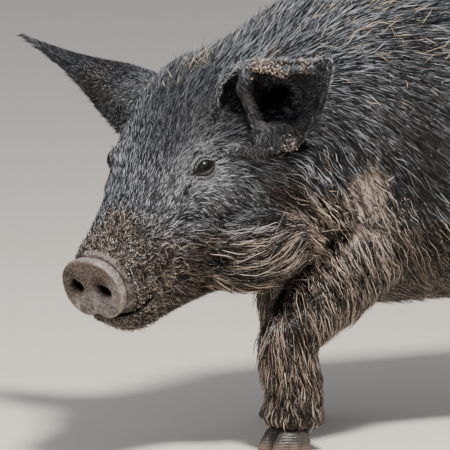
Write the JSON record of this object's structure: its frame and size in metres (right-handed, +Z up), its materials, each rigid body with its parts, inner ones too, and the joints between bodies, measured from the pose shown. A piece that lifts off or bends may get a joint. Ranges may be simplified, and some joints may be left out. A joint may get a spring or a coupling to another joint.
{
  "type": "pig",
  "caption": "Life-size still model of a young black bristly pig walking with its head low and turned to its left, standing on its hooves.",
  "frame": {"origin": "on the floor, at the middle of the bounding box's bottom", "axes": "+Z up, -Y ahead from the tail to the snout, +X to the pig's left"},
  "size_m": [0.4484, 1.0938, 0.5451],
  "materials": {
    "coat": "coarse black bristles with dried mud, satin",
    "snout_skin": "bare grey-pink skin, muddy, slightly moist",
    "hoof": "dull dark horn with dried mud",
    "eye": "wet and glossy"
  },
  "bodies": {
    "root": {"trunk": "coat", "neck": "coat", "head": "coat", "lower_jaw": "coat", "snout": "snout_skin", "ear_left": "coat", "ear_right": "coat", "eye_left": "eye", "eye_right": "eye", "tail": "coat", "leg_front_left": "coat", "leg_front_right": "coat", "leg_hind_left": "coat", "leg_hind_right": "coat", "claw_front_left_outer": "hoof", "claw_front_left_inner": "hoof", "claw_front_right_outer": "hoof", "claw_front_right_inner": "hoof", "claw_hind_left_outer": "hoof", "claw_hind_left_inner": "hoof", "claw_hind_right_outer": "hoof", "claw_hind_right_inner": "hoof", "dewclaw_front_left_outer": "hoof", "dewclaw_front_left_inner": "hoof", "dewclaw_front_right_outer": "hoof", "dewclaw_front_right_inner": "hoof", "dewclaw_hind_left_outer": "hoof", "dewclaw_hind_left_inner": "hoof", "dewclaw_hind_right_outer": "hoof", "dewclaw_hind_right_inner": "hoof"}
  },
  "joints": []
}
